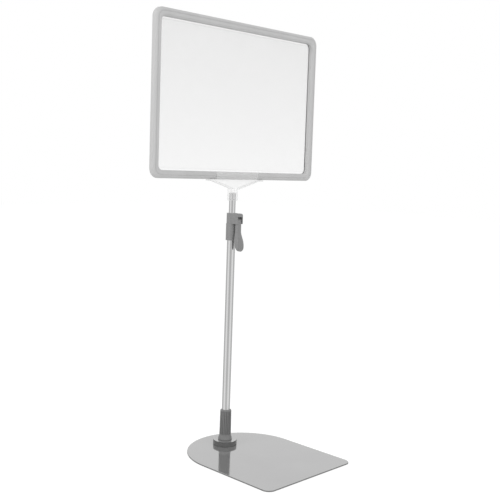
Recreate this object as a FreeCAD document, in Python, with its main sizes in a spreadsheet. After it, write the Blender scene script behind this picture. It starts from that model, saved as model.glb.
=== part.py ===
import FreeCAD, Part
import os
import re
import Sketcher

# Table-top sign stand: a poster frame held in a clear tee on a telescopic pole, which stands in a
# socket on a flat steel base.  Millimetres.  The origin is on the pole's axis at the underside of the
# base, +Z is up, the sign faces -Y and its width runs along X.

# ---- driving dimensions: each is one cell of the sheet, and each is set by itself ------------------
SIZES = {
    # base plate: a flat D, straight at the front and round at the back
    "plate_width": 170.0,
    "plate_reach": 171.5,          # pole axis to the straight front end
    "plate_arc_offset": 44.5,      # centre of the round end, this far in front of the pole axis
    "plate_thick": 2.0,
    "plate_corner": 11.0,
    "plate_edge": 0.5,
    # stud welded on the plate, boss over it, the nut that holds the boss down, and a steel washer on top
    "stud_dia": 8.0,
    "stud_length": 15.0,
    "stud_tip": 1.0,
    "thread_clear": 0.1,
    "boss_dia": 35.0,
    "boss_height": 6.2,
    "boss_edge": 0.3,
    "nut_flats": 13.0,
    "nut_height": 4.0,
    "nut_seat": 2.0,               # thickness of the boss under the nut
    "nut_room": 1.0,               # wrench room round the nut's corners
    "washer_dia": 34.6,
    "washer_thick": 0.8,
    "washer_edge": 0.2,
    # ribbed socket for the pole
    "foot_dia": 20.5,
    "foot_height": 1.8,
    "foot_undercut": 0.4,
    "flare_height": 5.4,
    "sleeve_low_dia": 17.2,
    "sleeve_top_dia": 16.4,
    "socket_height": 45.5,
    "socket_floor": 10.0,          # solid height between the washer and the end of the tube
    "socket_lip": 1.4,             # height of the sloping lip, and the flat land inside it
    "socket_land": 0.55,
    "rib_count": 20,
    "rib_groove_width": 0.9,
    "rib_groove_depth": 0.3,
    "rib_margin": 3.0,
    # pole
    "outer_dia": 12.0,
    "outer_wall": 0.7,
    "outer_length": 308.5,
    "inner_dia": 9.5,
    "inner_wall": 0.6,
    "inner_lift": 27.0,            # lower end of the inner tube above the lower end of the outer tube
    "inner_out": 18.3,             # inner tube showing between the clamp and the sign holder
    "tube_fit": 0.05,              # radial clearance of every tube in what holds or guides it
    "bush_collar": 8.0,
    "bush_spigot": 8.0,
    "bush_hole_dia": 5.0,
    "plug_head": 1.0,
    "plug_spigot": 8.0,
    # lever clamp
    "clamp_sleeve_dia": 16.2,
    "clamp_sleeve_height": 24.4,
    "clamp_grip": 21.3,            # length of outer tube inside the clamp
    "clamp_block_dia": 15.2,
    "clamp_block_height": 14.9,
    "clamp_roof": 2.0,             # ring over the liner
    "liner_wall": 0.95,
    "liner_slit": 1.0,
    "hood_width": 12.0,
    "hood_reach": 17.5,            # pole axis to the front of the hood
    "hood_roof": 5.0,
    "hood_corner": 3.0,
    "hood_edge": 1.3,
    "cheek_thick": 1.5,
    "pivot_reach": 11.4,
    "pivot_rise": 4.9,             # pivot above the hood's lower edge
    "pin_dia": 3.0,
    "pin_fit": 0.05,
    "lever_side_gap": 0.2,
    "lever_length": 44.5,
    "cam_radius": 4.3,
    "cam_gap": 0.3,                # cam nose to liner with the lever closed
    "shank_inner": 0.1,            # shank faces, measured from the pivot towards and away from the pole
    "shank_outer": 4.7,
    "shank_straight": 17.0,
    "paddle_width": 12.4,
    "paddle_kick": 4.4,            # how far the paddle stands out from the shank
    "paddle_start": 31.0,
    "paddle_heel": 30.0,           # where the face towards the pole starts to slope out to the tip
    "lever_bend": 12.0,
    # clear tee
    "holder_dia": 14.8,
    "holder_height": 17.2,
    "holder_grip": 11.2,           # depth of the socket over the inner tube
    "holder_neck_dia": 6.0,
    "end_gap": 0.1,                # between faces that slide or turn on each other
    "web_thick": 1.6,
    "rim_thick": 1.8,
    "rim_width": 6.0,
    "rail_length": 104.0,
    "rail_flat": 8.0,              # flat end of the rail, outside the sloping rim
    "rail_rise": 30.1,             # holder's lower end to the face that the frame stands on
    "rail_thick": 2.0,
    "lip_length": 83.0,
    "lip_height": 10.4,
    "lip_thick": 1.2,
    "lip_gap": 0.15,
    # poster frame and pocket
    "sign_reach": 4.5,             # pole axis to the middle of the frame's thickness
    "sign_shift": 5.0,             # frame's place along the rail
    "frame_width": 318.0,
    "frame_height": 221.0,
    "bar_width": 10.8,
    "frame_thick": 9.2,
    "frame_corner": 13.0,
    "opening_corner": 7.0,
    "bar_outer_round": 2.4,
    "bar_inner_bevel": 2.4,
    "bar_back_round": 1.0,
    "slot_depth": 7.0,             # front face to the slot for the pocket
    "slot_thick": 1.4,
    "slot_reach": 4.0,             # depth of the slot in the bars
    "pocket_fit": 0.5,             # pocket's side and lower edges to the slot's ends
    "pocket_below": 0.5,           # pocket's upper edge below the frame's upper edge
    "sheet_thick": 0.35,
    "leaf_gap": 0.3,
    # cutting
    "overcut": 1.0,                # how far a cut reaches past the face it opens
    "round_slack": 0.01,           # keeps a full round just short of a half circle
}
SAME_PLACE = 0.01                  # millimetres within which two places count as one

doc = FreeCAD.newDocument("sign_stand")
sheet = doc.addObject("Spreadsheet::Sheet", "sizes")
for row, (word, number) in enumerate(SIZES.items(), start=1):
    sheet.set("A%d" % row, word)
    sheet.set("B%d" % row, str(number))
    sheet.setAlias("B%d" % row, word)
doc.recompute()

# ---- places that follow from the driving dimensions, as expressions ---------------------------------
BOSS_TOP = "(plate_thick + boss_height)"
SOCKET_BASE = "(%s + washer_thick)" % BOSS_TOP
TUBE_BASE = "(%s + socket_floor)" % SOCKET_BASE
OUTER_TOP = "(%s + outer_length)" % TUBE_BASE
CLAMP_BASE = "(%s - clamp_grip)" % OUTER_TOP
CLAMP_STEP = "(%s + clamp_sleeve_height)" % CLAMP_BASE
CLAMP_TOP = "(%s + clamp_block_height)" % CLAMP_STEP
PIVOT_Z = "(%s + pivot_rise)" % CLAMP_STEP
HOLDER_BASE = "(%s + inner_out)" % CLAMP_TOP
INNER_TOP = "(%s + holder_grip - plug_head)" % HOLDER_BASE
INNER_BASE = "(%s + inner_lift)" % TUBE_BASE
RAIL_TOP = "(%s + rail_rise)" % HOLDER_BASE
SIGN_Z = "(%s + end_gap + frame_height / 2)" % RAIL_TOP
OUTER_BORE = "(outer_dia / 2 - outer_wall)"
INNER_BORE = "(inner_dia / 2 - inner_wall)"
LINER_OUTER = "(inner_dia / 2 + tube_fit + liner_wall)"
LEVER_SLOT = "(hood_width - 2 * cheek_thick)"


def cells(text):
    """Turn the plain words of an expression into references to the sheet."""
    return re.sub(r"[a-z_]+", lambda found: "sizes." + found.group()
                  if found.group() in SIZES else found.group(), text)


def number(text):
    return float(sheet.evalExpression(cells(text)))


# ---- helpers for sketches and features --------------------------------------------------------------
def new_body(label):
    body = doc.addObject("PartDesign::Body", label)
    body.Label = label
    return body


def place(body, x="0", y="0", z="0"):
    for axis, text in (("x", x), ("y", y), ("z", z)):
        body.setExpression("Placement.Base." + axis, cells(text))


def new_sketch(body, plane, lift="0"):
    """Sketch on one of the body's own planes; the XZ plane lifts towards -Y."""
    sketch = body.newObject("Sketcher::SketchObject", body.Name + "_sketch")
    origin_plane = [item for item in body.Origin.OriginFeatures if item.Role == plane][0]
    sketch.AttachmentSupport = (origin_plane, [""])
    sketch.MapMode = "FlatFace"
    sketch.setExpression("AttachmentOffset.Base.z", cells(lift))
    return sketch


def bind(sketch, constraint, text):
    index = sketch.addConstraint(constraint)
    sketch.setExpression("Constraints[%d]" % index, cells(text))


def draw_outline(sketch, corners):
    """Closed outline of straight lines; each corner is a pair of expressions."""
    first = sketch.GeometryCount
    points = [FreeCAD.Vector(number(x), number(y), 0) for x, y in corners]
    count = len(points)
    for index in range(count):
        sketch.addGeometry(Part.LineSegment(points[index], points[(index + 1) % count]))
    for index in range(count):
        after = first + (index + 1) % count
        sketch.addConstraint(Sketcher.Constraint("Coincident", first + index, 2, after, 1))
    for index, (x, y) in enumerate(corners):
        line = first + index
        bind(sketch, Sketcher.Constraint("DistanceX", -1, 1, line, 1, points[index].x), x)
        bind(sketch, Sketcher.Constraint("DistanceY", -1, 1, line, 1, points[index].y), y)


def draw_circle(sketch, radius, x="0", y="0"):
    centre = FreeCAD.Vector(number(x), number(y), 0)
    normal = FreeCAD.Vector(0, 0, 1)
    circle = sketch.addGeometry(Part.Circle(centre, normal, number(radius)))
    bind(sketch, Sketcher.Constraint("DistanceX", -1, 1, circle, 3, centre.x), x)
    bind(sketch, Sketcher.Constraint("DistanceY", -1, 1, circle, 3, centre.y), y)
    bind(sketch, Sketcher.Constraint("Radius", circle, number(radius)), radius)


def draw_rectangle(sketch, x_low, x_high, y_low, y_high):
    draw_outline(sketch, [(x_low, y_low), (x_high, y_low), (x_high, y_high), (x_low, y_high)])


def feature(body, kind, sketch, length, both_ways=False, backwards=False):
    """Pad or Pocket of a sketch; both_ways puts half of the length on each side."""
    made = body.newObject("PartDesign::" + kind, body.Name + "_" + kind)
    made.Profile = sketch
    made.SideType = "Symmetric" if both_ways else "One side"
    made.Reversed = backwards
    made.setExpression("Length", cells(length))
    return made


def turn(body, kind, corners):
    """Revolution or Groove about Z of an outline given as (radius, height) pairs."""
    sketch = new_sketch(body, "XZ_Plane")
    draw_outline(sketch, corners)
    made = body.newObject("PartDesign::" + kind, body.Name + "_" + kind)
    made.Profile = sketch
    made.ReferenceAxis = (sketch, ["V_Axis"])
    made.Angle = 360
    return made


def round_edges(body, radius, wanted, kind="Fillet"):
    """Fillet, or Chamfer, each edge of the body for which wanted(edge) is true."""
    doc.recompute()
    base = body.Tip
    names = ["Edge%d" % index for index, edge in enumerate(base.Shape.Edges, start=1) if wanted(edge)]
    if not names:
        raise RuntimeError("no edge to round on " + body.Label)
    made = body.newObject("PartDesign::" + kind, body.Name + "_" + kind)
    made.Base = (base, names)
    made.setExpression("Radius" if kind == "Fillet" else "Size", cells(radius))
    return made


def near(first, second, within=SAME_PLACE):
    return abs(first - second) < within


def is_circle(edge, radius, height):
    """Whole circle about Z of this radius at this height."""
    return (edge.Curve.TypeId == "Part::GeomCircle" and near(edge.Curve.Radius, radius)
            and near(edge.BoundBox.ZMin, height) and near(edge.BoundBox.ZMax, height))


def runs_along(edge, axis):
    """Straight edge parallel to the X, Y or Z axis."""
    if edge.Curve.TypeId != "Part::GeomLine":
        return False
    return near(abs(getattr(edge.Curve.Direction, axis)), 1, 1e-6)


# ---- base --------------------------------------------------------------------------------------------
def base_plate():
    body = new_body("base_plate")
    sketch = new_sketch(body, "XY_Plane")
    half, reach, arc_y = number("plate_width / 2"), number("plate_reach"), number("-plate_arc_offset")
    corners = [FreeCAD.Vector(-half, arc_y), FreeCAD.Vector(-half, -reach),
               FreeCAD.Vector(half, -reach), FreeCAD.Vector(half, arc_y)]
    for start, end in zip(corners, corners[1:]):
        sketch.addGeometry(Part.LineSegment(start, end))
    top = FreeCAD.Vector(0, arc_y + half)
    arc = sketch.addGeometry(Part.Arc(corners[3], top, corners[0]))
    for first, second in ((0, 1), (1, 2)):
        sketch.addConstraint(Sketcher.Constraint("Coincident", first, 2, second, 1))
    sketch.addConstraint(Sketcher.Constraint("Coincident", 2, 2, arc, 1))
    sketch.addConstraint(Sketcher.Constraint("Coincident", arc, 2, 0, 1))
    for line, x, y in ((0, "-plate_width / 2", "-plate_arc_offset"), (1, "-plate_width / 2", "-plate_reach"),
                       (2, "plate_width / 2", "-plate_reach")):
        bind(sketch, Sketcher.Constraint("DistanceX", -1, 1, line, 1, number(x)), x)
        bind(sketch, Sketcher.Constraint("DistanceY", -1, 1, line, 1, number(y)), y)
    bind(sketch, Sketcher.Constraint("DistanceX", -1, 1, 2, 2, half), "plate_width / 2")
    bind(sketch, Sketcher.Constraint("DistanceY", -1, 1, 2, 2, arc_y), "-plate_arc_offset")
    bind(sketch, Sketcher.Constraint("DistanceY", -1, 1, arc, 3, arc_y), "-plate_arc_offset")
    feature(body, "Pad", sketch, "plate_thick")
    round_edges(body, "plate_corner",
                lambda edge: runs_along(edge, "z") and near(edge.BoundBox.YMin, -reach))
    round_edges(body, "plate_edge",
                lambda edge: near(edge.BoundBox.ZMin, edge.BoundBox.ZMax))
    return body


def base_stud():
    body = new_body("base_stud")
    turn(body, "Revolution", [
        ("0", "0"), ("stud_dia / 2", "0"), ("stud_dia / 2", "stud_length - stud_tip"),
        ("stud_dia / 2 - stud_tip", "stud_length"), ("0", "stud_length")])
    place(body, z="plate_thick")
    return body


def base_boss():
    body = new_body("base_boss")
    pocket = "(nut_flats / sqrt(3) + nut_room)"
    turn(body, "Revolution", [
        ("stud_dia / 2 + thread_clear", "0"), ("boss_dia / 2", "0"), ("boss_dia / 2", "boss_height"),
        (pocket, "boss_height"), (pocket, "nut_seat"), ("stud_dia / 2 + thread_clear", "nut_seat")])
    round_edges(body, "boss_edge",
                lambda edge: is_circle(edge, number("boss_dia / 2"), number("boss_height")))
    place(body, z="plate_thick")
    return body


def boss_washer():
    body = new_body("boss_washer")
    turn(body, "Revolution", [
        ("stud_dia / 2 + thread_clear", "0"), ("washer_dia / 2", "0"), ("washer_dia / 2", "washer_thick"),
        ("stud_dia / 2 + thread_clear", "washer_thick")])
    round_edges(body, "washer_edge",
                lambda edge: is_circle(edge, number("washer_dia / 2"), number("washer_thick")))
    place(body, z=BOSS_TOP)
    return body


def stud_nut():
    hexagon = doc.addObject("Part::Prism", "nut_hexagon")
    hexagon.Polygon = 6
    hexagon.setExpression("Circumradius", cells("nut_flats / sqrt(3)"))
    hexagon.setExpression("Height", cells("nut_height"))
    bore = doc.addObject("Part::Cylinder", "nut_bore")
    bore.setExpression("Radius", cells("stud_dia / 2 + thread_clear"))
    bore.setExpression("Height", cells("nut_height"))
    nut = doc.addObject("Part::Cut", "stud_nut")
    nut.Label = "stud_nut"
    nut.Base = hexagon
    nut.Tool = bore
    place(nut, z="plate_thick + nut_seat")
    return nut


def base_socket():
    body = new_body("base_socket")
    bore = "(outer_dia / 2 + tube_fit)"
    flare_top = "(foot_height + flare_height)"
    turn(body, "Revolution", [
        ("stud_dia / 2 + thread_clear", "0"), ("foot_dia / 2 - foot_undercut", "0"),
        ("foot_dia / 2", "foot_undercut"), ("foot_dia / 2", "foot_height"),
        ("sleeve_low_dia / 2", flare_top), ("sleeve_top_dia / 2", "socket_height - socket_lip"),
        (bore + " + socket_land", "socket_height"), (bore, "socket_height"),
        (bore, "socket_floor"), ("stud_dia / 2 + thread_clear", "socket_floor")])
    round_edges(body, "foot_undercut", lambda edge: is_circle(
        edge, number("foot_dia / 2"), number("foot_height")))
    # one groove between two ribs, cut along the tapered sleeve, then repeated round it
    sketch = new_sketch(body, "YZ_Plane")
    low, high = "(%s + rib_margin)" % flare_top, "(socket_height - socket_lip - rib_margin)"
    slope = "((sleeve_low_dia - sleeve_top_dia) / 2 / (socket_height - socket_lip - %s))" % flare_top
    low_r = "(sleeve_low_dia / 2 - rib_margin * %s)" % slope
    high_r = "(sleeve_top_dia / 2 + rib_margin * %s)" % slope
    outside = "(foot_dia / 2)"
    draw_outline(sketch, [(low_r + " - rib_groove_depth", low), (outside, low), (outside, high),
                          (high_r + " - rib_groove_depth", high)])
    groove = feature(body, "Pocket", sketch, "rib_groove_width", both_ways=True)
    pattern = body.newObject("PartDesign::PolarPattern", "socket_ribs")
    pattern.Originals = [groove]
    pattern.Axis = ([item for item in body.Origin.OriginFeatures if item.Role == "Z_Axis"][0], [""])
    pattern.Angle = 360
    pattern.setExpression("Occurrences", cells("rib_count"))
    body.Tip = pattern
    place(body, z=SOCKET_BASE)
    return body


# ---- pole --------------------------------------------------------------------------------------------
def tube(label, outer, bore, length, base):
    body = new_body(label)
    turn(body, "Revolution", [(bore, "0"), (outer, "0"), (outer, length), (bore, length)])
    place(body, z=base)
    return body


def inner_guide_bush():
    """Collar that runs in the outer tube, on a spigot in the inner tube's lower end."""
    body = new_body("inner_guide_bush")
    collar, spigot = OUTER_BORE + " - tube_fit", INNER_BORE + " - tube_fit"
    turn(body, "Revolution", [
        ("bush_hole_dia / 2", "-bush_collar"), (collar, "-bush_collar"), (collar, "0"), (spigot, "0"),
        (spigot, "bush_spigot"), ("bush_hole_dia / 2", "bush_spigot")])
    place(body, z=INNER_BASE)
    return body


def inner_tube_plug():
    body = new_body("inner_tube_plug")
    spigot = INNER_BORE + " - tube_fit"
    turn(body, "Revolution", [
        ("0", "-plug_spigot"), (spigot, "-plug_spigot"), (spigot, "0"), ("inner_dia / 2", "0"),
        ("inner_dia / 2", "plug_head"), ("0", "plug_head")])
    place(body, z=INNER_TOP)
    return body


# ---- lever clamp -------------------------------------------------------------------------------------
def clamp_body():
    """Sleeve on the outer tube, block over it, and a hood in front that holds the lever."""
    body = new_body("clamp_body")
    step, top = "clamp_sleeve_height", "(clamp_sleeve_height + clamp_block_height)"
    turn(body, "Revolution", [
        ("0", "0"), ("clamp_sleeve_dia / 2", "0"), ("clamp_sleeve_dia / 2", step),
        ("clamp_block_dia / 2", step), ("clamp_block_dia / 2", top), ("0", top)])
    hood = new_sketch(body, "YZ_Plane")
    draw_rectangle(hood, "-hood_reach", "0", step, top)
    feature(body, "Pad", hood, "hood_width", both_ways=True)
    reach, high = number("hood_reach"), number(top)
    round_edges(body, "hood_corner", lambda edge: runs_along(edge, "x")
                and near(edge.BoundBox.YMin, -reach) and near(edge.BoundBox.ZMin, high))
    round_edges(body, "hood_edge", lambda edge: runs_along(edge, "z")
                and near(edge.BoundBox.YMin, -reach))
    # stepped bore: outer tube, liner, and the ring over the liner
    tube_bore, liner_bore = "(outer_dia / 2 + tube_fit)", "(%s + tube_fit)" % LINER_OUTER
    ring_bore, liner_top = "(inner_dia / 2 + 2 * tube_fit)", "(%s - clamp_roof)" % top
    turn(body, "Groove", [
        ("0", "0"), (tube_bore, "0"), (tube_bore, "clamp_grip"), (liner_bore, "clamp_grip"),
        (liner_bore, liner_top), (ring_bore, liner_top), (ring_bore, top), ("0", top)])
    # slot for the lever between the hood's cheeks, open at the front and into the liner's bore
    slot = new_sketch(body, "YZ_Plane")
    draw_rectangle(slot, "-hood_reach - overcut", "-" + LINER_OUTER + " + liner_wall / 2", step,
                   top + " - hood_roof")
    feature(body, "Pocket", slot, LEVER_SLOT, both_ways=True)
    pin_hole = new_sketch(body, "YZ_Plane")
    draw_circle(pin_hole, "pin_dia / 2", "-pivot_reach", step + " + pivot_rise")
    feature(body, "Pocket", pin_hole, "hood_width + 2 * overcut", both_ways=True)
    place(body, z=CLAMP_BASE)
    return body


def clamp_liner():
    """Split nylon ring that the cam presses against the inner tube."""
    body = new_body("clamp_liner")
    bore = "(inner_dia / 2 + tube_fit)"
    height = "(clamp_sleeve_height + clamp_block_height - clamp_grip - clamp_roof - 2 * end_gap)"
    turn(body, "Revolution", [(bore, "0"), (LINER_OUTER, "0"), (LINER_OUTER, height), (bore, height)])
    slit = new_sketch(body, "YZ_Plane")
    draw_rectangle(slit, "0", "outer_dia", "-overcut", height + " + overcut")
    feature(body, "Pocket", slit, "liner_slit", both_ways=True)
    place(body, z=OUTER_TOP + " + end_gap")
    return body


def clamp_lever():
    """Cam lever: the side view and the front view are padded, and the lever is what they share."""
    inner, outer = "shank_inner", "-shank_outer"
    tip = "-lever_length"
    side = new_body("lever_side")
    sketch = new_sketch(side, "YZ_Plane")
    draw_outline(sketch, [
        (inner, "0"), (outer, "0"), (outer, "-shank_straight"),
        (outer + " - paddle_kick", "-paddle_start - shank_outer"), (outer + " - paddle_kick", tip),
        (outer, tip), (inner, "-paddle_heel")])
    feature(side, "Pad", sketch, "paddle_width", both_ways=True)
    bends = (number("-shank_straight"), number("-paddle_start - shank_outer"),
             number("-paddle_heel"))
    round_edges(side, "lever_bend", lambda edge: runs_along(edge, "x") and any(
        near(edge.BoundBox.ZMin, bend) for bend in bends))
    disc = new_sketch(side, "YZ_Plane")
    draw_circle(disc, "cam_radius", "pivot_reach - %s - cam_gap - cam_radius" % LINER_OUTER, "0")
    feature(side, "Pad", disc, "paddle_width", both_ways=True)
    pin_hole = new_sketch(side, "YZ_Plane")
    draw_circle(pin_hole, "pin_dia / 2 + pin_fit")
    feature(side, "Pocket", pin_hole, "paddle_width + 2 * overcut", both_ways=True)

    front = new_body("lever_front")
    sketch = new_sketch(front, "XZ_Plane")
    waist = "(%s / 2 - lever_side_gap)" % LEVER_SLOT
    above = "(2 * cam_radius)"
    draw_outline(sketch, [
        ("-" + waist, above), ("-" + waist, "-shank_straight"), ("-paddle_width / 2", "-paddle_start"),
        ("-paddle_width / 2", tip), ("paddle_width / 2", tip), ("paddle_width / 2", "-paddle_start"),
        (waist, "-shank_straight"), (waist, above)])
    feature(front, "Pad", sketch, "4 * paddle_width", both_ways=True)
    round_edges(front, "paddle_width / 2 - round_slack", lambda edge: runs_along(edge, "y")
                and near(edge.BoundBox.ZMin, number(tip)))

    lever = doc.addObject("Part::Common", "clamp_lever")
    lever.Label = "clamp_lever"
    lever.Base = side
    lever.Tool = front
    place(lever, y="-pivot_reach", z=PIVOT_Z)
    return lever


def lever_pin():
    body = new_body("lever_pin")
    sketch = new_sketch(body, "YZ_Plane")
    draw_circle(sketch, "pin_dia / 2")
    feature(body, "Pad", sketch, "hood_width", both_ways=True)
    place(body, y="-pivot_reach", z=PIVOT_Z)
    return body


# ---- clear tee ---------------------------------------------------------------------------------------
def sign_holder():
    """Clear tee: socket over the inner tube, thin web with rims, and a channel for the frame."""
    body = new_body("sign_holder")
    turn(body, "Revolution", [("0", "0"), ("holder_dia / 2", "0"), ("holder_dia / 2", "holder_height"),
                              ("0", "holder_height")])
    rail_low = "(rail_rise - rail_thick)"
    knee = "(rail_length / 2 - rail_flat)"
    neck = "(holder_dia / 2 - rim_thick / 2)"
    web = new_sketch(body, "XZ_Plane", "sign_reach - web_thick / 2")
    draw_outline(web, [
        ("-" + neck, "holder_height - rim_thick"), (neck, "holder_height - rim_thick"),
        (knee, rail_low), ("-" + knee, rail_low)])
    feature(body, "Pad", web, "web_thick")
    for side in ("-", ""):
        rim = new_sketch(body, "XZ_Plane", "sign_reach - rim_width / 2")
        draw_outline(rim, [
            (side + neck, "holder_height - rim_thick / 2"), (side + knee, rail_low + " - rim_thick / 2"),
            (side + knee, rail_low + " + rim_thick / 2"), (side + neck, "holder_height + rim_thick / 2")])
        feature(body, "Pad", rim, "rim_width")
    channel = "(frame_thick + 2 * lip_gap)"
    rail = new_sketch(body, "XZ_Plane", "sign_reach - %s / 2 - lip_thick" % channel)
    draw_rectangle(rail, "-rail_length / 2", "rail_length / 2", rail_low, "rail_rise")
    feature(body, "Pad", rail, channel + " + 2 * lip_thick")
    for lift in ("sign_reach - %s / 2 - lip_thick" % channel, "sign_reach + %s / 2" % channel):
        lip = new_sketch(body, "XZ_Plane", lift)
        draw_rectangle(lip, "-lip_length / 2", "lip_length / 2", "rail_rise - rail_thick / 2",
                       "rail_rise + lip_height")
        feature(body, "Pad", lip, "lip_thick")
    bore, shoulder = "(inner_dia / 2 + tube_fit)", "(holder_grip + end_gap)"
    turn(body, "Groove", [
        ("0", "0"), (bore, "0"), (bore, shoulder), ("holder_neck_dia / 2", shoulder),
        ("holder_neck_dia / 2", "holder_height - rim_thick"), ("0", "holder_height - rim_thick")])
    place(body, z=HOLDER_BASE)
    return body


# ---- poster frame and pocket -------------------------------------------------------------------------
def poster_frame():
    """One moulding round an opening, with a slot for the pocket that is open at the top."""
    body = new_body("poster_frame")
    outside = new_sketch(body, "XZ_Plane")
    draw_rectangle(outside, "-frame_width / 2", "frame_width / 2", "-frame_height / 2", "frame_height / 2")
    feature(body, "Pad", outside, "frame_thick", both_ways=True)
    round_edges(body, "frame_corner", lambda edge: runs_along(edge, "y"))
    opening = new_sketch(body, "XZ_Plane")
    wide, high = "(frame_width / 2 - bar_width)", "(frame_height / 2 - bar_width)"
    draw_rectangle(opening, "-" + wide, wide, "-" + high, high)
    feature(body, "Pocket", opening, "frame_thick + 2 * overcut", both_ways=True)
    reach_x, reach_z = number(wide), number(high)

    def in_opening(edge):
        box = edge.BoundBox
        return (max(abs(box.XMin), abs(box.XMax)) < reach_x + SAME_PLACE
                and max(abs(box.ZMin), abs(box.ZMax)) < reach_z + SAME_PLACE)

    round_edges(body, "opening_corner", lambda edge: runs_along(edge, "y") and in_opening(edge))
    front, back = number("-frame_thick / 2"), number("frame_thick / 2")
    round_edges(body, "bar_outer_round", lambda edge: near(edge.BoundBox.YMin, front)
                and near(edge.BoundBox.YMax, front) and not in_opening(edge))
    round_edges(body, "bar_back_round", lambda edge: near(edge.BoundBox.YMin, back)
                and near(edge.BoundBox.YMax, back) and not in_opening(edge))
    round_edges(body, "bar_inner_bevel", lambda edge: near(edge.BoundBox.YMin, front)
                and near(edge.BoundBox.YMax, front) and in_opening(edge), "Chamfer")

    slot = new_sketch(body, "XZ_Plane", "frame_thick / 2 - slot_depth - slot_thick")
    edge = "(frame_width / 2 - bar_width + slot_reach)"
    draw_rectangle(slot, "-" + edge, edge, "-%s - slot_reach" % high, "frame_height / 2 + overcut")
    feature(body, "Pocket", slot, "slot_thick", backwards=True)
    place(body, x="sign_shift", y="-sign_reach", z=SIGN_Z)
    return body


def clear_pocket():
    """Clear sheet folded at its lower edge into a front and a back leaf."""
    body = new_body("clear_pocket")
    middle = "(frame_thick / 2 - slot_depth - slot_thick / 2)"
    outside, inside = "(sheet_thick + leaf_gap / 2)", "(leaf_gap / 2)"
    low = "(-frame_height / 2 + bar_width - slot_reach + pocket_fit)"
    high = "(frame_height / 2 - pocket_below)"
    fold = "(%s + sheet_thick)" % low
    profile = new_sketch(body, "YZ_Plane")
    draw_outline(profile, [("-%s - %s" % (middle, side), height) for side, height in (
        (outside, low), ("-" + outside, low), ("-" + outside, high), ("-" + inside, high),
        ("-" + inside, fold), (inside, fold), (inside, high), (outside, high))])
    feature(body, "Pad", profile, "frame_width - 2 * bar_width + 2 * slot_reach - 2 * pocket_fit",
            both_ways=True)
    place(body, x="sign_shift", y="-sign_reach", z=SIGN_Z)
    return body


# ---- build, check and write --------------------------------------------------------------------------
def main():
    subparts = [
        base_plate(), base_stud(), base_boss(), boss_washer(), stud_nut(), base_socket(),
        tube("outer_tube", "outer_dia / 2", OUTER_BORE, "outer_length", TUBE_BASE),
        tube("inner_tube", "inner_dia / 2", INNER_BORE, "%s - %s" % (INNER_TOP, INNER_BASE),
             INNER_BASE),
        inner_guide_bush(), inner_tube_plug(),
        clamp_body(), clamp_liner(), clamp_lever(), lever_pin(),
        sign_holder(), poster_frame(), clear_pocket(),
    ]
    doc.recompute()
    for item in doc.Objects:
        if "Invalid" in item.State or "Error" in item.State:
            raise RuntimeError("failed: %s %s" % (item.Name, item.State))
    for item in subparts:
        if item.Shape.isNull() or not item.Shape.isValid():
            raise RuntimeError("bad shape: " + item.Label)
    os.makedirs("parts", exist_ok=True)
    for item in subparts:
        item.Shape.exportStep("parts/%s.step" % item.Label)
        box = item.Shape.BoundBox
        print("%-18s solids %d  volume %9.1f  x %7.1f %7.1f  y %7.1f %7.1f  z %7.1f %7.1f" % (
            item.Label, len(item.Shape.Solids), item.Shape.Volume,
            box.XMin, box.XMax, box.YMin, box.YMax, box.ZMin, box.ZMax))


main()
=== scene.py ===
"""Looks of the table-top sign stand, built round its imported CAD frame.  Metres, +Z up, sign faces -Y."""
import math

import bmesh
import bpy
from mathutils import Matrix, Vector


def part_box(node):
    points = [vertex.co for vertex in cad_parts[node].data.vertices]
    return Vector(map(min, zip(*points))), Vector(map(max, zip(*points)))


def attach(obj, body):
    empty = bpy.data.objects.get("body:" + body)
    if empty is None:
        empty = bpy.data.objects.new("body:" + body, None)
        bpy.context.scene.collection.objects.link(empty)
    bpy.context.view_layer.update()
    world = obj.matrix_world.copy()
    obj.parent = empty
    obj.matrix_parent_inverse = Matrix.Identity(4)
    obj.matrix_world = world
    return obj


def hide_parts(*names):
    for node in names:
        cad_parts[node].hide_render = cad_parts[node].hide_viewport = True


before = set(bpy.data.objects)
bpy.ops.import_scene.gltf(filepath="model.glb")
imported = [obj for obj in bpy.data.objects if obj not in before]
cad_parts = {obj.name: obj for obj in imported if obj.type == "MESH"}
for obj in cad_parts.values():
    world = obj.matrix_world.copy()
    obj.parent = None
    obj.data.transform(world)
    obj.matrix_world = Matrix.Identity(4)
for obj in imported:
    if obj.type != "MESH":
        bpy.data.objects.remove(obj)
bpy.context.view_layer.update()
MM = 0.001
SHARP_DEG = 32
BEVEL_DEG = 35
STRAIGHT = 0.9999
SAME_PLACE = 1e-9


# ---- mesh helpers ------------------------------------------------------------------------------------
def rounded(corners, radii, steps=5):
    """Closed outline with each corner turned into an arc; radii is one number or one for each corner."""
    if not hasattr(radii, "__len__"):
        radii = [radii] * len(corners)
    points = []
    for index, radius in enumerate(radii):
        here = Vector(corners[index])
        back = (Vector(corners[index - 1]) - here).normalized()
        on = (Vector(corners[(index + 1) % len(corners)]) - here).normalized()
        if radius <= 0 or abs(back.dot(on)) > STRAIGHT:
            points.append(here)
            continue
        half = back.angle(on) / 2
        centre = here + (back + on).normalized() * (radius / math.sin(half))
        first = here + back * (radius / math.tan(half)) - centre
        last = here + on * (radius / math.tan(half)) - centre
        whole = first.angle_signed(last)
        for step in range(steps + 1):
            turned = first.copy()
            turned.rotate(Matrix.Rotation(-whole * step / steps, 2))
            points.append(centre + turned)
    return points


def mesh_object(name, vertices, faces):
    mesh = bpy.data.meshes.new(name)
    mesh.from_pydata([tuple(vertex) for vertex in vertices], [], faces)
    return shaded(name, mesh)


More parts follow.
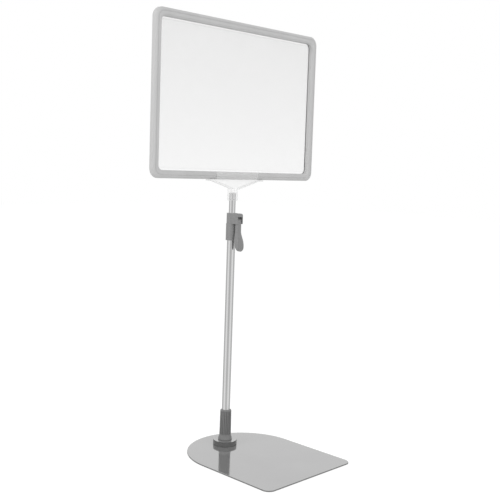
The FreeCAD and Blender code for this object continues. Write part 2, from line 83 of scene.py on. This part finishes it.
def shaded(name, mesh):
    """Object of a closed mesh: doubles merged, faces turned outward, smooth but for its sharp edges."""
    work = bmesh.new()
    work.from_mesh(mesh)
    bmesh.ops.remove_doubles(work, verts=work.verts, dist=1e-7)
    bmesh.ops.recalc_face_normals(work, faces=work.faces)
    work.to_mesh(mesh)
    work.free()
    mesh.shade_smooth()
    mesh.set_sharp_from_angle(angle=math.radians(SHARP_DEG))
    piece = bpy.data.objects.new(name, mesh)
    bpy.context.scene.collection.objects.link(piece)
    flat_faces_first(piece)
    return piece


def flat_faces_first(piece):
    """Keep large flat faces flat in the shading where small rounded edges join them."""
    weigh = piece.modifiers.new("weigh", "WEIGHTED_NORMAL")
    weigh.keep_sharp = True
    weigh.weight = 80


def grid(rings, closed=True):
    """Vertices and quads of rings of equally many points; closed joins the last ring to the first."""
    count = len(rings[0])
    vertices = [point for ring in rings for point in ring]
    faces = []
    for index in range(len(rings) if closed else len(rings) - 1):
        after = (index + 1) % len(rings)
        for spot in range(count):
            beside = (spot + 1) % count
            faces.append((index * count + spot, index * count + beside,
                          after * count + beside, after * count + spot))
    return vertices, faces


def capped(name, rings):
    """Solid through the rings, closed by one flat face at each end."""
    vertices, faces = grid(rings, closed=False)
    count = len(rings[0])
    faces.append(tuple(range(count)))
    faces.append(tuple(range(len(vertices) - count, len(vertices))))
    return mesh_object(name, vertices, faces)


def turned(name, outline, segments=128, radius_of=None):
    """Closed (radius, height) outline turned about Z; radius_of may change a radius at an angle."""
    rings = []
    for step in range(segments):
        angle = 2 * math.pi * step / segments
        ring = []
        for radius, height in outline:
            here = radius_of(radius, height, angle) if radius_of else radius
            ring.append((here * math.cos(angle), here * math.sin(angle), height))
        rings.append(ring)
    return mesh_object(name, *grid(rings))


def slab(name, outline, low, high, edge, steps=3):
    """Flat plate: a convex outline in X and Y with rounded upper and lower edges."""
    rings = []
    quarter = [math.pi / 2 * step / steps for step in range(steps + 1)]
    levels = [(1 - math.sin(a), low + edge * (1 - math.cos(a))) for a in quarter]
    levels += [(1 - math.sin(a), high - edge * (1 - math.cos(a))) for a in reversed(quarter)]
    for inset, height in levels:
        rings.append([(x, y, height) for x, y in offset(outline, edge * inset)])
    return capped(name, rings)


def offset(outline, distance):
    """The outline moved inward by the distance."""
    moved = []
    for index, point in enumerate(outline):
        before, after = Vector(outline[index - 1]), Vector(outline[(index + 1) % len(outline)])
        along = (after - before).normalized()
        moved.append((point[0] - along.y * distance, point[1] + along.x * distance))
    return moved


def joined(first, second, operation):
    """First object united with, or cut by, the second, which is removed."""
    change = first.modifiers.new("shape", "BOOLEAN")
    change.operation = operation
    change.solver = "EXACT"
    change.object = second
    graph = bpy.context.evaluated_depsgraph_get()
    mesh = bpy.data.meshes.new_from_object(first.evaluated_get(graph))
    name = first.name
    for used in (first, second):
        bpy.data.objects.remove(used)
    return shaded(name, mesh)


def put(piece, node, body, material):
    """The piece stands for the CAD node: it rides on its body and takes the material."""
    piece.data.materials.clear()
    piece.data.materials.append(material)
    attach(piece, body)
    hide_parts(node)


def dress(node, material, edge=0.0, clear=False):
    """Material, and a small bevel, for a CAD node that is shown as it is; clear ones cast no shadow."""
    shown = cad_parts[node]
    shown.data.materials.clear()
    shown.data.materials.append(material)
    if edge:
        bevel = shown.modifiers.new("edge", "BEVEL")
        bevel.width, bevel.segments = edge, 2
        bevel.limit_method, bevel.angle_limit = "ANGLE", math.radians(BEVEL_DEG)
        flat_faces_first(shown)
    shown.visible_shadow = not clear


# ---- material helpers --------------------------------------------------------------------------------
def new_material(name, **values):
    material = bpy.data.materials.new(name)
    material.use_nodes = True
    shader = material.node_tree.nodes["Principled BSDF"]
    for socket, value in values.items():
        shader.inputs[socket.replace("_", " ")].default_value = value
    return material, material.node_tree, shader


def add(tree, kind, **values):
    node = tree.nodes.new("ShaderNode" + kind)
    for key, value in values.items():
        if key in node.inputs:
            node.inputs[key].default_value = value
        else:
            setattr(node, key, value)
    return node


def noise(tree, scale, detail=4.0, stretch=(1, 1, 1)):
    """Noise in the object's own space; scale is in features a metre, and stretch scales each axis."""
    place = add(tree, "TexCoord")
    mapping = add(tree, "Mapping")
    mapping.inputs["Scale"].default_value = stretch
    tree.links.new(place.outputs["Object"], mapping.inputs["Vector"])
    texture = add(tree, "TexNoise", Scale=scale, Detail=detail)
    tree.links.new(mapping.outputs["Vector"], texture.inputs["Vector"])
    return texture.outputs["Fac"]


def ranged(tree, source, start, end, low=0.0, high=1.0):
    """The source mapped from start..end to low..high, and held level outside them."""
    node = add(tree, "MapRange")
    for socket, value in (("From Min", start), ("From Max", end), ("To Min", low), ("To Max", high)):
        node.inputs[socket].default_value = value
    tree.links.new(source, node.inputs["Value"])
    return node.outputs["Result"]


def spread(tree, source, low, high):
    """A noise source, which lies mostly between 0.3 and 0.7, mapped to low..high."""
    return ranged(tree, source, 0.3, 0.7, low, high)


def combined(tree, operation, *terms):
    """Result of a Math node whose terms are sockets or numbers."""
    node = add(tree, "Math", operation=operation)
    for spot, term in enumerate(terms):
        if isinstance(term, (int, float)):
            node.inputs[spot].default_value = term
        else:
            tree.links.new(term, node.inputs[spot])
    return node.outputs[0]


def axes(tree, vector):
    """The X, Y and Z sockets of a vector socket."""
    split = add(tree, "SeparateXYZ")
    tree.links.new(vector, split.inputs[0])
    return split.outputs


def colour_sockets(sockets):
    return [socket for socket in sockets if socket.type == "RGBA"]


def blend_colour(tree, share, first, second):
    """Colour that goes from first to second as the share rises; each is a socket or three numbers."""
    mix = add(tree, "Mix", data_type="RGBA")
    for end, colour in zip(colour_sockets(mix.inputs), (first, second)):
        if isinstance(colour, tuple):
            end.default_value = (*colour, 1)
        else:
            tree.links.new(colour, end)
    tree.links.new(share, mix.inputs["Factor"])
    return colour_sockets(mix.outputs)[0]


def vary_colour(tree, shader, source, dark, light):
    tree.links.new(blend_colour(tree, source, dark, light), shader.inputs["Base Color"])


def bump(tree, shader, height, depth):
    """Bump of this depth in metres."""
    node = add(tree, "Bump", Strength=1.0, Distance=depth)
    tree.links.new(height, node.inputs["Height"])
    tree.links.new(node.outputs["Normal"], shader.inputs["Normal"])


def grey(level):
    return (level, level, level)


def moulded_plastic(name, level, roughness):
    """Injection-moulded plastic: fine mould grain, faint flow marks, slightly uneven gloss."""
    material, tree, shader = new_material(name)
    contrast, gloss_change, grain_depth = 0.03, 0.12, 0.008 * MM
    flow = spread(tree, noise(tree, 55, 3, (1, 1, 0.25)), 0, 1)
    vary_colour(tree, shader, flow, grey(level * (1 - contrast)), grey(level * (1 + contrast)))
    grain = noise(tree, 2600, 3)
    gloss = spread(tree, grain, roughness * (1 - gloss_change), roughness * (1 + gloss_change))
    tree.links.new(gloss, shader.inputs["Roughness"])
    bump(tree, shader, grain, grain_depth)
    return material


def polished_steel(name, level, roughness, stretch, line_depth=0.0006 * MM, side_shade_level=None, metallic=1.0):
    """Bright steel with fine draw or grinding lines, which run where stretch is small.

    A flat piece's side_shade_level is a darker level painted on its upright sides as shade; these sides are
    also rougher."""
    material, tree, shader = new_material(name, Metallic=metallic)
    cloud = spread(tree, noise(tree, 14, 3), 0, 1)
    colour = blend_colour(tree, cloud, grey(level * 0.975), grey(level * 1.02))
    lines = noise(tree, 1600, 2, stretch)
    rough = spread(tree, lines, roughness * 0.75, roughness * 1.3)
    if side_shade_level:
        lying, standing, rougher = 0.75, 0.45, 0.4
        normal = axes(tree, add(tree, "NewGeometry").outputs["Normal"])
        upright = ranged(tree, combined(tree, "ABSOLUTE", normal["Z"]), lying, standing)
        # painted shade: upright sides are darkened towards this level
        colour = blend_colour(tree, upright, colour, grey(side_shade_level))
        rough = combined(tree, "MULTIPLY_ADD", upright, rougher, rough)
    tree.links.new(colour, shader.inputs["Base Color"])
    tree.links.new(rough, shader.inputs["Roughness"])
    bump(tree, shader, lines, line_depth)
    return material


def clear_plastic(name, level, roughness, least, most, neck):
    """Clear moulding: its broad faces let most light through.  Narrow edge faces above the neck carry
    painted shade, a darker grey in place of the dark surroundings that real clear edges bend into view;
    they, and any face seen edge on, are also less clear."""
    material, tree, shader = new_material(name)
    space = add(tree, "TexCoord")
    broad = combined(tree, "ABSOLUTE", axes(tree, space.outputs["Normal"])["Y"])
    narrow = ranged(tree, broad, 0.95, 0.25)
    height = axes(tree, space.outputs["Object"])["Z"]
    rim_shade_strength, rim_shade_share, edge_on_blend = 0.6, 0.3, 0.35
    above = ranged(tree, height, neck - MM, neck + MM, 0, rim_shade_strength)
    rim_shade = combined(tree, "MULTIPLY", narrow, above)
    # painted shade: narrow faces above the neck turn a darker grey
    vary_colour(tree, shader, rim_shade, grey(level), grey(level * rim_shade_share))
    tree.links.new(spread(tree, noise(tree, 420, 3), roughness * 0.7, roughness * 1.3),
                   shader.inputs["Roughness"])
    edge_on = add(tree, "LayerWeight", Blend=edge_on_blend).outputs["Facing"]
    cover = ranged(tree, combined(tree, "MAXIMUM", edge_on, rim_shade), 0, 1, least, most)
    tree.links.new(cover, shader.inputs["Alpha"])
    return material


def clear_film(name, low, high, border):
    """Clear pocket seen in an opening from low to high: a clearer border along the opening's edge, a
    fold beside it, and a sheet whose cover rises towards its top, which darkens the upper sheet as painted
    shade."""
    material, tree, shader = new_material(name)
    wave_depth, film_cover, film_cover_with_top_shade = 0.4 * MM, 0.045, 0.125
    vary_colour(tree, shader, spread(tree, noise(tree, 60, 3), 0, 1), grey(0.60), grey(0.64))
    tree.links.new(spread(tree, noise(tree, 90, 3), 0.08, 0.16), shader.inputs["Roughness"])
    bump(tree, shader, noise(tree, 9, 2), wave_depth)
    place = axes(tree, add(tree, "TexCoord").outputs["Object"])
    middle, half = (low + high) / 2, (high - low) / 2
    insets = []
    for index, axis in ((0, "X"), (2, "Z")):
        away = combined(tree, "SUBTRACT", place[axis], middle[index])
        insets.append(combined(tree, "SUBTRACT", half[index], combined(tree, "ABSOLUTE", away)))
    inside = ranged(tree, combined(tree, "MINIMUM", *insets), 0, 4 * border)
    weld = add(tree, "ValToRGB")
    clearer, folded, plain = grey(0.5), grey(1.15), grey(1)
    first, last = weld.color_ramp.elements
    first.color, last.color = (*clearer, 1), (*plain, 1)
    for spot, level in ((0.24, clearer), (0.34, folded), (0.55, folded), (0.75, plain)):
        weld.color_ramp.elements.new(spot).color = (*level, 1)
    tree.links.new(inside, weld.inputs["Fac"])
    # painted shade: the sheet's cover rises towards its top, so the upper sheet looks darker
    film_cover_and_top_shade = ranged(tree, place["Z"], low.z, high.z, film_cover, film_cover_with_top_shade)
    tree.links.new(combined(tree, "MULTIPLY", weld.outputs["Color"], film_cover_and_top_shade), shader.inputs["Alpha"])
    return material


# ---- materials ---------------------------------------------------------------------------------------
# The plate's and the washer's darker upright sides are painted shade.
plate_steel = polished_steel("plate_steel", 0.495, 0.08, (1, 0.02, 1), side_shade_level=0.26, metallic=0.7)
tube_steel = polished_steel("tube_steel", 0.73, 0.12, (1, 1, 0.01))
washer_steel = polished_steel("washer_steel", 0.51, 0.08, (1, 1, 1), side_shade_level=0.11, metallic=0.7)
pin_steel = polished_steel("pin_steel", 0.26, 0.4, (1, 1, 1), metallic=0.2)
black_zinc = polished_steel("black_zinc", 0.14, 0.28, (1, 1, 1), 0.001 * MM)
# The socket and the clamp are one grey plastic: the socket's darker level is painted shade and the clamp's
# lighter level is painted light.
shaded_socket_grey = moulded_plastic("shaded_socket_grey", 0.21, 0.34)
boss_grey = moulded_plastic("boss_grey", 0.13, 0.3)
lit_clamp_grey = moulded_plastic("lit_clamp_grey", 0.26, 0.36)
frame_grey = moulded_plastic("frame_grey", 0.56, 0.42)
nylon = moulded_plastic("nylon", 0.72, 0.5)
tee_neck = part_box("sign_holder")[0].z + 17.5 * MM
clear_tee = clear_plastic("clear_tee", 0.88, 0.08, 0.14, 0.5, tee_neck)
FRAME_BAR = 10.8 * MM
POCKET_BORDER = 1.6 * MM
frame_low, frame_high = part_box("poster_frame")
frame_inset = Vector((FRAME_BAR, 0, FRAME_BAR))
clear_sheet = clear_film("clear_sheet", frame_low + frame_inset, frame_high - frame_inset,
                         POCKET_BORDER)


# ---- base --------------------------------------------------------------------------------------------
STUD_CLEARANCE = 0.1 * MM


def base_plate():
    """D-shaped plate: straight front with rounded corners, and a half circle at the back."""
    low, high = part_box("base_plate")
    half, corner, edge, arc_steps = high.x, 11 * MM, 0.5 * MM, 96
    arc_y = high.y - half
    outline = rounded([(-half, low.y), (half, low.y), (half, arc_y), (-half, arc_y)],
                      [corner, corner, 0, 0], 12)
    del outline[-2:]
    for step in range(arc_steps + 1):
        angle = math.pi * step / arc_steps
        outline.append(Vector((half * math.cos(angle), arc_y + half * math.sin(angle))))
    piece = slab("base_plate_bright", outline, low.z, high.z, edge)
    put(piece, "base_plate", "stand", plate_steel)


def ring_on_stud(node, name, lower_edge, upper_edge, steps, material):
    """Flat ring round the base stud, rounded at its outer edges."""
    low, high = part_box(node)
    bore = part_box("base_stud")[1].x + STUD_CLEARANCE
    outline = rounded([(bore, low.z), (high.x, low.z), (high.x, high.z), (bore, high.z)],
                      [0, lower_edge, upper_edge, 0], steps)
    put(turned(name, outline, 160), node, "stand", material)


def base_socket():
    """Tapered sleeve with moulded ribs on a flared foot."""
    low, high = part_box("base_socket")
    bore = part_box("outer_tube")[1].x + 0.05 * MM
    foot, sleeve_low, sleeve_top = 10.25 * MM, 8.6 * MM, 8.2 * MM
    foot_edge, mouth_wall, mouth_drop = 0.4 * MM, 0.55 * MM, 1.4 * MM
    rim_high, flare_high = low.z + 1.8 * MM, low.z + 7.2 * MM
    corners = [(bore, low.z), (foot - foot_edge, low.z), (foot, low.z + foot_edge), (foot, rim_high),
               (sleeve_low, flare_high), (sleeve_top, high.z - mouth_drop), (bore + mouth_wall, high.z),
               (bore, high.z)]
    radii = [0, 0.2 * MM, 0.2 * MM, 0.5 * MM, 6 * MM, 0.4 * MM, 0.2 * MM, 0]
    outline = rounded(corners, radii, 8)
    longest = 1.2 * MM
    fine = []
    for index, point in enumerate(outline):
        after = outline[(index + 1) % len(outline)]
        pieces = max(1, round((after - point).length / longest))
        fine += [point.lerp(after, step / pieces) for step in range(pieces)]
    rib_count, rib_depth, fade, thin_wall = 20, 0.9 * MM, 1.5 * MM, 1.0 * MM
    rib_low, rib_high = flare_high + fade, high.z - 3.4 * MM
    groove_start, groove_slope = 0.3, 0.3

    def ribbed(radius, height, angle):
        if radius < bore + thin_wall or not rib_low - fade < height < rib_high + fade:
            return radius
        ends = min(1.0, (height - rib_low + fade) / fade, (rib_high + fade - height) / fade)
        wave = math.cos(rib_count * angle)
        groove = max(0.0, min(1.0, (wave - groove_start) / groove_slope))
        return radius - rib_depth * groove * ends

    put(turned("base_socket_ribbed", fine, 480, ribbed), "base_socket", "stand",
        shaded_socket_grey)


# ---- pole --------------------------------------------------------------------------------------------
def pole_tube(node, name, body, wall):
    """Plain tube whose rims are rounded by a share of its wall."""
    low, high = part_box(node)
    bore, rim_shade_share = high.x - wall, 0.3
    outline = rounded([(bore, low.z), (high.x, low.z), (high.x, high.z), (bore, high.z)],
                      wall * rim_shade_share, 3)
    put(turned(name, outline), node, body, tube_steel)


# ---- poster frame ------------------------------------------------------------------------------------
def poster_frame():
    """Bar section carried round the frame as nested rounded rectangles, then the slot cut from above."""
    low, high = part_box("poster_frame")
    middle = (low + high) / 2
    half_x, half_y, half_z = (high - low) / 2
    bar, corner, inner_corner, steps = FRAME_BAR, 13 * MM, 7 * MM, 16
    front, back = -half_y, half_y
    shoulder, chamfer = front + 2.4 * MM, 1.0 * MM
    outer_slope = [((0, shoulder), 2.0 * MM), ((2.4 * MM, front + 0.25 * MM), 1.6 * MM)]
    crest_and_groove = [((3.7 * MM, front), 0.3 * MM), ((4.5 * MM, front + 0.8 * MM), 0.15 * MM),
                        ((5.2 * MM, front + 0.15 * MM), 0.3 * MM)]
    inner_slope = [((8.4 * MM, front + 0.3 * MM), 0.6 * MM), ((bar, shoulder), 0.5 * MM)]
    rear = [((bar, back), 0.3 * MM), ((chamfer, back), 0.8 * MM), ((0, back - chamfer), 0.8 * MM)]
    corners, radii = zip(*outer_slope, *crest_and_groove, *inner_slope, *rear)
    section = rounded(corners, radii)
    rings = []
    for inward, depth in section:
        radius = corner + (inner_corner - corner) * inward / bar
        reach_x, reach_z = half_x - inward - radius, half_z - inward - radius
        ring = []
        for sign_x, sign_z, start in ((1, -1, -90), (1, 1, 0), (-1, 1, 90), (-1, -1, 180)):
            for step in range(steps + 1):
                angle = math.radians(start + 90 * step / steps)
                ring.append((middle.x + sign_x * reach_x + radius * math.cos(angle), middle.y + depth,
                             middle.z + sign_z * reach_z + radius * math.sin(angle)))
        rings.append(ring)
    shell = mesh_object("poster_frame_moulded", *grid(rings))
    slot_low, slot_high = low.y + 7.0 * MM, low.y + 8.4 * MM
    into_bar, overcut = 4 * MM, 5 * MM
    edge = half_x - bar + into_bar
    cutter = block("slot_cutter", (middle.x - edge, slot_low, low.z + bar - into_bar),
                   (middle.x + edge, slot_high, high.z + overcut))
    shell = joined(shell, cutter, "DIFFERENCE")
    put(shell, "poster_frame", "frame", frame_grey)


# ---- lever -------------------------------------------------------------------------------------------
def eased(value, start, end):
    """0 before start, 1 after end and a smooth rise between."""
    share = max(0.0, min(1.0, (value - start) / (end - start)))
    return share * share * (3 - 2 * share)


def clamp_lever():
    """Cam and shank, and a paddle with a dished thumb face that stands out towards its tip.

    The shank runs down from the pivot: drop is the distance below it, and rise how far the head goes up."""
    low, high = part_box("clamp_lever")
    pin_low, pin_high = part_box("lever_pin")
    pivot = (pin_low + pin_high) / 2
    clearance, rise, levels = 0.05 * MM, 2.0 * MM, 64
    length = pivot.z - low.z - clearance
    waist, paddle = 4.3 * MM, high.x
    shank_inner, shank_outer, edge = 0.1 * MM, -4.7 * MM, 1.1 * MM
    kick, thinning = pivot.y + shank_outer - low.y, 4.6 * MM
    bend_start, widest, bend_end = 15 * MM, 32 * MM, 37 * MM
    thin_start, thin_end = 27 * MM, 47 * MM
    nose, least_tip = 2.2 * MM, 0.0004
    dish_depth, dish_start, dish_full = 1.1 * MM, 23 * MM, 30 * MM
    dish_fade, dish_end = length - 3.6 * MM, length - 1.6 * MM
    rings = []
    for level in range(levels + 1):
        drop = (length + rise) * level / levels - rise
        half = waist + (paddle - waist) * eased(drop, bend_start, widest)
        tip_start = length - paddle
        if drop > tip_start:
            half = paddle * math.sqrt(max(least_tip, 1 - ((drop - tip_start) / paddle) ** 2))
        outer = shank_outer - kick * eased(drop, bend_start, bend_end)
        inner = shank_inner - thinning * eased(drop, thin_start, thin_end)
        top = min(1.0, (drop + rise) / nose)
        outer += nose * (1 - math.sqrt(1 - (1 - top) ** 2))
        dish = dish_depth * eased(drop, dish_start, dish_full) * (1 - eased(drop, dish_fade, dish_end))
        ring = lever_section(half, outer, inner, edge, dish)
        rings.append([(pivot.x + point.x, pivot.y + point.y, pivot.z - drop) for point in ring])
    shank = capped("clamp_lever_moulded", rings)
    cam_radius, cam_offset = 4.3 * MM, 1.05 * MM
    cam = axle("cam", cam_radius, waist, (0, pivot.y + cam_offset, pivot.z))
    shank = joined(shank, cam, "UNION")
    hole = axle("pin_hole", (pin_high.z - pin_low.z) / 2 + clearance, 2 * paddle, pivot)
    shank = joined(shank, hole, "DIFFERENCE")
    put(shank, "clamp_lever", "lever", lit_clamp_grey)


def lever_section(half, outer, inner, edge, dish):
    """Rounded rectangle round the shank, with its outer side dished by this depth."""
    edge_share, across, dish_border, dish_flat = 0.45, 14, 0.03, 0.22
    corner = min(edge, half * edge_share, (inner - outer) * edge_share)
    shape = rounded([(-half, outer), (half, outer), (half, inner), (-half, inner)], corner, 4)
    bottom = [index for index, point in enumerate(shape) if abs(point.y - outer) < SAME_PLACE]
    left = min(shape[index].x for index in bottom)
    right = max(shape[index].x for index in bottom)
    start = next(index for index in bottom if abs(shape[index].x - left) < SAME_PLACE)
    ordered = shape[start:] + shape[:start]
    face = []
    for step in range(1, across):
        share = step / across
        depth = dish * eased(min(share, 1 - share), dish_border, dish_flat)
        face.append(Vector((left + (right - left) * share, outer + depth)))
    return [ordered[0]] + face + ordered[1:]


def axle(name, radius, half, centre):
    """Round bar along X with slightly rounded ends, used to shape another piece."""
    edge = min(0.4 * MM, radius / 4)
    outline = rounded([(0, -half), (radius, -half), (radius, half), (0, half)], [0, edge, edge, 0], 3)
    bar = turned(name, outline, 64)
    bar.data.transform(Matrix.Translation(centre) @ Matrix.Rotation(math.pi / 2, 4, "Y"))
    return bar


def block(name, low, high):
    """Plain box, used as a cutter."""
    corners = [(x, y, z) for x in (low[0], high[0]) for y in (low[1], high[1]) for z in (low[2], high[2])]
    faces = [(0, 1, 3, 2), (4, 6, 7, 5), (0, 4, 5, 1), (2, 3, 7, 6), (0, 2, 6, 4), (1, 5, 7, 3)]
    return mesh_object(name, corners, faces)


# ---- assembly ----------------------------------------------------------------------------------------
base_plate()
ring_on_stud("base_boss", "base_boss_moulded", 0.7 * MM, 0.3 * MM, 6, boss_grey)
ring_on_stud("boss_washer", "boss_washer_bright", 0.1 * MM, 0.12 * MM, 4, washer_steel)
base_socket()
pole_tube("outer_tube", "outer_tube_drawn", "stand", 0.7 * MM)
pole_tube("inner_tube", "inner_tube_drawn", "mast", 0.6 * MM)
poster_frame()
clamp_lever()
for node in ("base_stud", "stud_nut"):
    dress(node, black_zinc)
dress("lever_pin", pin_steel)
for node in ("inner_guide_bush", "inner_tube_plug", "clamp_liner"):
    dress(node, nylon)
dress("clamp_body", lit_clamp_grey, 0.25 * MM)
dress("sign_holder", clear_tee, 0.2 * MM, clear=True)
dress("clear_pocket", clear_sheet, clear=True)


# ---- studio ------------------------------------------------------------------------------------------
def studio_floor():
    """Pale floor that mirrors look through.  To the camera it glows so white that no shadow shows on it."""
    size, sunk = 6.0, 0.3 * MM
    floor = mesh_object("floor", [(-size, -size, 0), (size, -size, 0), (size, size, 0), (-size, size, 0)],
                        [(0, 1, 2, 3)])
    floor.location.z = -sunk
    material = bpy.data.materials.new("floor_white")
    material.use_nodes = True
    tree = material.node_tree
    tree.nodes.clear()
    path = add(tree, "LightPath")
    glow_on_stand, glow_to_eye = 0.35, 0.68
    glow = add(tree, "Emission", Color=(1, 1, 1, 1))
    strength = ranged(tree, seen_directly(tree, path), 0, 1, glow_on_stand, glow_to_eye)
    tree.links.new(strength, glow.inputs["Strength"])
    lit = add(tree, "AddShader")
    tree.links.new(add(tree, "BsdfDiffuse", Color=(0.5, 0.5, 0.5, 1)).outputs[0], lit.inputs[0])
    tree.links.new(glow.outputs[0], lit.inputs[1])
    open_floor = add(tree, "BsdfTransparent")
    surface = blend_shader(tree, path.outputs["Is Glossy Ray"], lit, open_floor)
    tree.links.new(surface.outputs[0], add(tree, "OutputMaterial").inputs["Surface"])
    floor.data.materials.append(material)


def blend_shader(tree, share, first, second):
    """Mix Shader node that goes from the first node to the second as the share rises."""
    mix = add(tree, "MixShader")
    tree.links.new(share, mix.inputs["Fac"])
    tree.links.new(first.outputs[0], mix.inputs[1])
    tree.links.new(second.outputs[0], mix.inputs[2])
    return mix


def seen_directly(tree, path):
    """1 for what the camera sees, by itself or through glass."""
    return combined(tree, "MAXIMUM", path.outputs["Is Camera Ray"], path.outputs["Is Transmission Ray"])


def studio_world():
    """White to the eye and through glass; mirrors see soft walls of several levels and a pale sky above.

    The walls' share is 0 on the camera's side of the room and 1 behind the stand."""
    world = bpy.data.worlds.new("studio")
    bpy.context.scene.world = world
    world.use_nodes = True
    tree = world.node_tree
    tree.nodes.clear()
    path = add(tree, "LightPath")
    direction = add(tree, "TexCoord").outputs["Generated"]
    along = add(tree, "VectorMath", operation="DOT_PRODUCT")
    along.inputs[1].default_value = (math.sqrt(0.5), math.sqrt(0.5), 0)
    tree.links.new(direction, along.inputs[0])
    walls = add(tree, "ValToRGB")
    walls.color_ramp.interpolation = "EASE"
    near_level, far_level = 0.56, 0.60
    first, last = walls.color_ramp.elements
    first.color, last.color = (*grey(near_level), 1), (*grey(far_level), 1)
    for place, level in ((0.02, 0.58), (0.09, 0.86), (0.25, 1.0), (0.38, 0.84), (0.52, 0.56)):
        walls.color_ramp.elements.new(place).color = (*grey(level), 1)
    tree.links.new(ranged(tree, along.outputs["Value"], -1, 1), walls.inputs["Fac"])
    sky_level, sky_low, sky_high = 0.95, 0.12, 0.25
    above = ranged(tree, axes(tree, direction)["Z"], sky_low, sky_high)
    above.node.interpolation_type = "SMOOTHSTEP"
    mirrored = add(tree, "Background")
    tree.links.new(blend_colour(tree, above, walls.outputs["Color"], grey(sky_level)),
                   mirrored.inputs["Color"])
    plain = add(tree, "Background", Color=(1, 1, 1, 1), Strength=0.66)
    white = add(tree, "Background", Color=(1, 1, 1, 1), Strength=1.0)
    unseen = blend_shader(tree, path.outputs["Is Glossy Ray"], plain, mirrored)
    surface = blend_shader(tree, seen_directly(tree, path), unseen, white)
    tree.links.new(surface.outputs[0], add(tree, "OutputWorld").inputs["Surface"])


def soft_box(name, azimuth_deg, height, distance, size, power):
    """Area light on this side, aimed at the pole's clamp; metal doesn't mirror it."""
    light = bpy.data.lights.new(name, "AREA")
    light.shape, light.size, light.size_y = "RECTANGLE", size[0], size[1]
    light.energy = power
    lamp = bpy.data.objects.new(name, light)
    angle = math.radians(azimuth_deg)
    lamp.location = (distance * math.sin(angle), -distance * math.cos(angle), height)
    clamp = Vector((0, 0, 0.35))
    lamp.rotation_euler = (clamp - lamp.location).to_track_quat("-Z", "Y").to_euler()
    lamp.visible_glossy = False
    bpy.context.scene.collection.objects.link(lamp)


def photo_camera():
    """Camera on the object's left front, level with the sign's lower part and slightly rolled."""
    yaw, pitch, roll = 0.79032, 0.09938, -0.03369
    place = (-0.83026, -0.86130, 0.41181)
    focal_in_widths = 1.65166
    forward = Vector((math.sin(yaw) * math.cos(pitch), math.cos(yaw) * math.cos(pitch), -math.sin(pitch)))
    right = Vector((math.cos(yaw), -math.sin(yaw), 0))
    down = forward.cross(right)
    right_rolled = math.cos(roll) * right + math.sin(roll) * down
    down_rolled = math.cos(roll) * down - math.sin(roll) * right
    data = bpy.data.cameras.new("camera")
    data.sensor_width = 36.0
    data.lens = data.sensor_width * focal_in_widths
    data.clip_start, data.clip_end = 0.05, 50
    camera = bpy.data.objects.new("camera", data)
    bpy.context.scene.collection.objects.link(camera)
    turn = Matrix((right_rolled, -down_rolled, -forward)).transposed()
    camera.matrix_world = Matrix.Translation(place) @ turn.to_4x4()
    bpy.context.scene.camera = camera


studio_floor()
studio_world()
soft_box("left_box", -100, 1.0, 1.6, (0.9, 1.6), 10)
soft_box("front_box", 0, 0.9, 1.7, (0.9, 1.6), 7)
photo_camera()
bpy.context.scene.view_settings.view_transform = "Standard"
